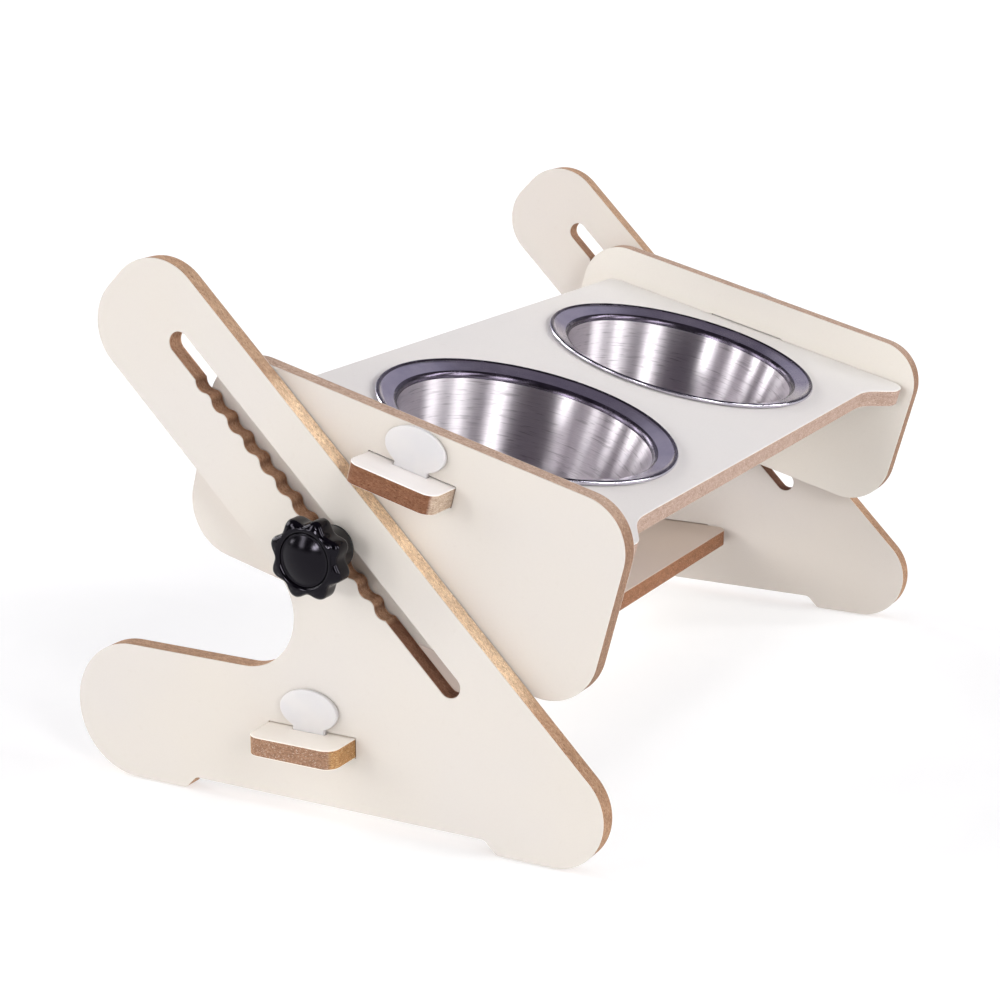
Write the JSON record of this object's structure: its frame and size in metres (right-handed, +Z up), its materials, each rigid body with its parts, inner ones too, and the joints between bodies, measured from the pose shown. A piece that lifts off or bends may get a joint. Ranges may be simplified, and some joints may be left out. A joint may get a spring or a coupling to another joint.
{
  "type": "adjustable cat bowl stand",
  "caption": "Raised cat feeding stand of white laminated board: steel bowls in a tray that tilts and clamps at notched heights on leaning side frames.",
  "frame": {"origin": "middle of the footprint box, on the floor", "axes": "+X across the stand from the left side frame to the right one, +Y to the back where the arms lean, +Z up"},
  "size_m": [0.4528, 0.2756, 0.2441],
  "materials": {
    "laminate_board": "satin white laminate on fibreboard with bare brown edges",
    "stainless_steel": "spun stainless steel",
    "knob_plastic": "glossy black",
    "milky_plastic": "milky translucent",
    "zinc_steel": "zinc plated",
    "washer_nylon": "matt black"
  },
  "bodies": {
    "stand": {"left_side_frame": "laminate_board", "right_side_frame": "laminate_board", "lower_cross_board": "laminate_board"},
    "left_cross_key": {"cross_board_key_left": "milky_plastic"},
    "right_cross_key": {"cross_board_key_right": "milky_plastic"},
    "stud_carriage": {"left_washer": "washer_nylon", "right_washer": "washer_nylon"},
    "tray_assembly": {"left_side_panel": "laminate_board", "right_side_panel": "laminate_board", "tray_board": "laminate_board", "left_threaded_insert": "zinc_steel", "right_threaded_insert": "zinc_steel"},
    "left_tray_key": {"tray_key_left": "milky_plastic"},
    "right_tray_key": {"tray_key_right": "milky_plastic"},
    "left_food_bowl": {"left_bowl": "stainless_steel"},
    "right_food_bowl": {"right_bowl": "stainless_steel"},
    "left_clamp_knob": {"left_knob": "knob_plastic", "left_knob_cap": "knob_plastic", "left_knob_stud": "zinc_steel"},
    "right_clamp_knob": {"right_knob": "knob_plastic", "right_knob_cap": "knob_plastic", "right_knob_stud": "zinc_steel"}
  },
  "joints": [
    {"name": "height_slide", "type": "slide", "parent": "stand", "child": "stud_carriage", "axis": [0, 0.7022, 0.712], "range_m": [-0.0345, 0.092]},
    {"name": "tray_tilt", "type": "hinge", "parent": "stud_carriage", "child": "tray_assembly", "pos_m": [0, -0.00575, 0.1265], "axis": [1, 0, 0], "range_deg": [-10, 30]},
    {"name": "left_knob_turn", "type": "hinge", "parent": "stud_carriage", "child": "left_clamp_knob", "pos_m": [-0.2, -0.00575, 0.1265], "axis": [1, 0, 0], "continuous": true},
    {"name": "right_knob_turn", "type": "hinge", "parent": "stud_carriage", "child": "right_clamp_knob", "pos_m": [0.2, -0.00575, 0.1265], "axis": [1, 0, 0], "continuous": true},
    {"name": "left_bowl_lift", "type": "slide", "parent": "tray_assembly", "child": "left_food_bowl", "axis": [0, -0.2554, 0.9668], "range_m": [0, 0.06]},
    {"name": "right_bowl_lift", "type": "slide", "parent": "tray_assembly", "child": "right_food_bowl", "axis": [0, -0.2554, 0.9668], "range_m": [0, 0.06]},
    {"name": "left_tray_key_pull", "type": "slide", "parent": "tray_assembly", "child": "left_tray_key", "axis": [0, -0.2554, 0.9668], "range_m": [0, 0.03]},
    {"name": "right_tray_key_pull", "type": "slide", "parent": "tray_assembly", "child": "right_tray_key", "axis": [0, -0.2554, 0.9668], "range_m": [0, 0.03]},
    {"name": "left_cross_key_pull", "type": "slide", "parent": "stand", "child": "left_cross_key", "axis": [0, 0, 1], "range_m": [0, 0.03]},
    {"name": "right_cross_key_pull", "type": "slide", "parent": "stand", "child": "right_cross_key", "axis": [0, 0, 1], "range_m": [0, 0.03]}
  ]
}
